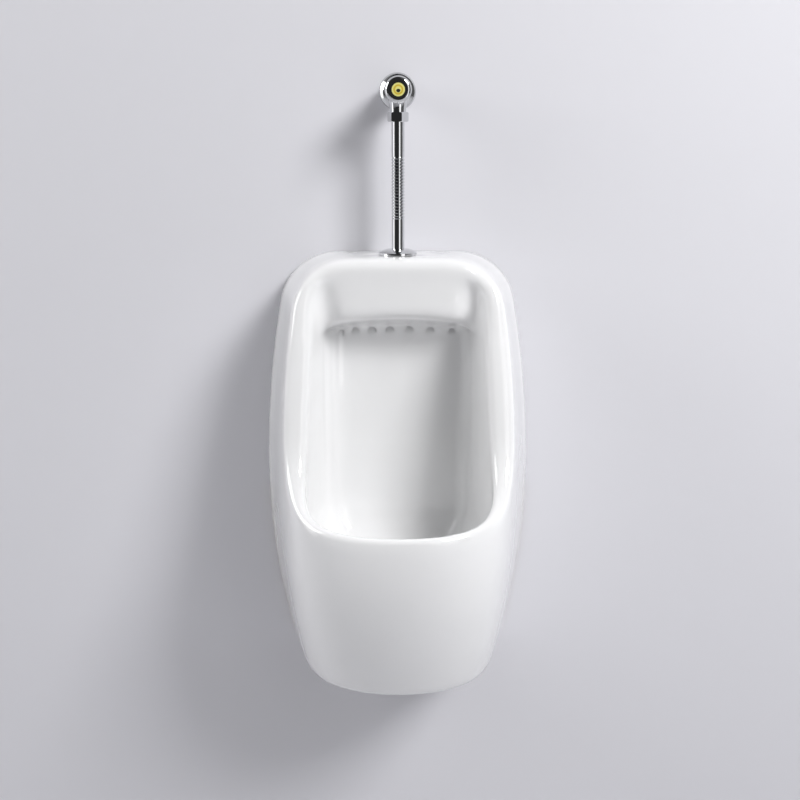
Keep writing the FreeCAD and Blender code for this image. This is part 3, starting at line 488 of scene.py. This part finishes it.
def rinse_spots(tree):
    """Where the middle of each rinse hole meets the softened back wall."""
    for index in range(hole_count):
        place = index - (hole_count - 1) / 2
        x = hole_shift + hole_pitch * (place + hole_growth * place ** 2)
        drop = hole_drop + arch_radius - math.sqrt(arch_radius ** 2 - x ** 2)
        yield tree.ray_cast(Vector((x, -search_depth, body_top() - drop)), Vector((0, 1, 0)))[0]


def open_rinse_holes(mesh):
    """Open the row of rinse holes: drop the faces in each mouth and bring its edge onto the outline."""
    tree = face_tree(mesh)
    middles = vertex_values(mesh.polygons, "center")
    shell = bmesh.new()
    shell.from_mesh(mesh)
    skin = list(shell.faces)
    dropped = []
    for spot in rinse_spots(tree):
        hole = RinseHole(tree, spot)
        mouth = [skin[number] for number in hole.inside(middles)]
        dropped += mouth
        for corner in {corner for face in mouth for corner in face.verts}:
            if any(face not in mouth for face in corner.link_faces):
                corner.co = hole.to_outline(corner.co)
        hole.line(shell)
    bmesh.ops.delete(shell, geom=dropped, context="FACES")
    shell.to_mesh(mesh)
    shell.free()


def face_tree(mesh):
    """A search tree of a mesh's faces."""
    return BVHTree.FromPolygons([v.co for v in mesh.vertices], [p.vertices for p in mesh.polygons])


def smooth_shading(mesh, points, normals):
    """Shade the thinned mesh with the fine one's normals, but not the faces that stand across it."""
    tree = KDTree(len(points))
    for index, point in enumerate(points):
        tree.insert(point, index)
    tree.balance()
    nearest = [tree.find(vertex.co)[1] for vertex in mesh.vertices]
    corner_vertices = np.empty(len(mesh.loops), dtype=np.int64)
    mesh.loops.foreach_get("vertex_index", corner_vertices)
    counts = np.empty(len(mesh.polygons), dtype=np.int64)
    mesh.polygons.foreach_get("loop_total", counts)
    own = np.repeat(vertex_values(mesh.polygons, "normal"), counts, axis=0)
    picked = normals[nearest][corner_vertices]
    across = (picked * own).sum(axis=1) < own_normal_share
    picked[across] = own[across]
    mesh.normals_split_custom_set(picked.tolist())


def applied(piece):
    """A piece's mesh with its modifiers applied."""
    graph = bpy.context.evaluated_depsgraph_get()
    return bpy.data.meshes.new_from_object(piece.evaluated_get(graph))


def set_mesh(piece, mesh):
    """Give a piece the mesh and take its modifiers off."""
    piece.modifiers.clear()
    piece.data = mesh


def bare_faces(mesh):
    """For each face 1 where it is bare clay: it sees the wall but not the sky, or lies against the wall."""
    tree = face_tree(mesh)
    back = Vector((0, 1, 0))
    sky = Vector((0, 0, 1))
    flags = []
    for face in mesh.polygons:
        start = face.center + face.normal * skin_probe
        open_back = tree.ray_cast(start, back)[0] is None
        on_wall = face.normal.y > wall_facing
        open_sky = tree.ray_cast(start, sky)[0] is None
        flags.append(1 if open_back and (on_wall or not open_sky) else 0)
    return flags


def stage_sheet(name, corners, material):
    """A flat four-sided surface of the stage."""
    mesh = bpy.data.meshes.new(name)
    mesh.from_pydata([tuple(corner) for corner in corners], [], [(0, 1, 2, 3)])
    mesh.materials.append(material)
    piece = bpy.data.objects.new(name, mesh)
    bpy.context.scene.collection.objects.link(piece)


def wall_paint(name, colour, see_through):
    """Matt paint; a wall is see-through from behind so that the object's back can be looked at."""
    shader = Shader(name)
    dark = tuple(part * dark_share for part in colour)
    shader.colour(shader.blend(shader.noise(2.5, 3), dark, colour))
    shader.roughness(shader.spread(shader.noise(60, 3), 0.72, 0.82))
    shader.bump(shader.noise(420, 3), 0.06, 0.0004)
    if see_through:
        geometry = shader.add("ShaderNodeNewGeometry")
        clear = shader.add("ShaderNodeBsdfTransparent")
        mix = shader.add("ShaderNodeMixShader")
        output = shader.tree.nodes["Material Output"]
        shader.link(geometry.outputs["Backfacing"], mix.inputs["Fac"])
        shader.link(shader.surface.outputs["BSDF"], mix.inputs[1])
        shader.link(clear.outputs["BSDF"], mix.inputs[2])
        shader.link(mix.outputs["Shader"], output.inputs["Surface"])
    return shader.material


def build_room():
    """The wall behind the object and the floor below it."""
    reach = room_reach
    paint = wall_paint("wall_paint", wall_colour, True)
    stage_sheet("wall", [(-reach, wall_gap, floor_height), (reach, wall_gap, floor_height),
                         (reach, wall_gap, reach), (-reach, wall_gap, reach)], paint)
    floor = wall_paint("floor_paint", floor_colour, False)
    stage_sheet("floor", [(-reach, -reach, floor_height), (reach, -reach, floor_height),
                          (reach, reach, floor_height), (-reach, reach, floor_height)], floor)


def area_lamp(name, azimuth, elevation, distance, width, height, power):
    """A lamp that looks at the object's middle."""
    data = bpy.data.lights.new(name, "AREA")
    data.shape = "RECTANGLE"
    data.size = width
    data.size_y = height
    data.energy = power
    lamp = bpy.data.objects.new(name, data)
    direction = Vector((math.sin(azimuth) * math.cos(elevation), -math.cos(azimuth) * math.cos(elevation),
                        math.sin(elevation)))
    lamp.location = object_middle + direction * distance
    lamp.rotation_euler = direction.to_track_quat("Z", "Y").to_euler()
    bpy.context.scene.collection.objects.link(lamp)


def build_surrounding():
    """A surrounding that is dark in front, where the camera stands."""
    world = bpy.data.worlds.new("surrounding")
    bpy.context.scene.world = world
    world.use_nodes = True
    tree = world.node_tree
    place = tree.nodes.new("ShaderNodeTexCoord")
    parts = tree.nodes.new("ShaderNodeSeparateXYZ")
    turn = tree.nodes.new("ShaderNodeMath")
    turn.operation = "ARCTAN2"
    flip = tree.nodes.new("ShaderNodeMath")
    flip.operation = "MULTIPLY"
    flip.inputs[1].default_value = -1
    share = tree.nodes.new("ShaderNodeMapRange")
    share.inputs["From Min"].default_value = -math.pi
    share.inputs["From Max"].default_value = math.pi
    ramp = tree.nodes.new("ShaderNodeValToRGB")
    stops = ramp.color_ramp.elements
    while len(stops) < len(surround_shares):
        stops.new(0.5)
    for stop, (position, grey) in zip(stops, surround_shares):
        stop.position = position
        stop.color = (grey, grey, grey * surround_blue, 1)
    tree.links.new(place.outputs["Generated"], parts.inputs["Vector"])
    tree.links.new(parts.outputs["Y"], flip.inputs[0])
    tree.links.new(parts.outputs["X"], turn.inputs[0])
    tree.links.new(flip.outputs["Value"], turn.inputs[1])
    tree.links.new(turn.outputs["Value"], share.inputs["Value"])
    tree.links.new(share.outputs["Result"], ramp.inputs["Fac"])
    tree.links.new(ramp.outputs["Color"], tree.nodes["Background"].inputs["Color"])


def build_camera():
    """The camera at the photograph's place and angle."""
    data = bpy.data.cameras.new("camera")
    data.lens = camera_lens
    data.sensor_width = camera_sensor
    camera = bpy.data.objects.new("camera", data)
    camera.location = camera_place
    camera.rotation_euler = (math.pi / 2 - camera_pitch, 0, -camera_yaw)
    bpy.context.scene.collection.objects.link(camera)
    bpy.context.scene.camera = camera


materials = finish_materials()
dress_nodes(materials)
soften_body(materials)
build_room()
for lamp_name, lamp_values in lamps.items():
    area_lamp(lamp_name, *lamp_values)
build_surrounding()
build_camera()
bpy.context.scene.view_settings.view_transform = "Standard"
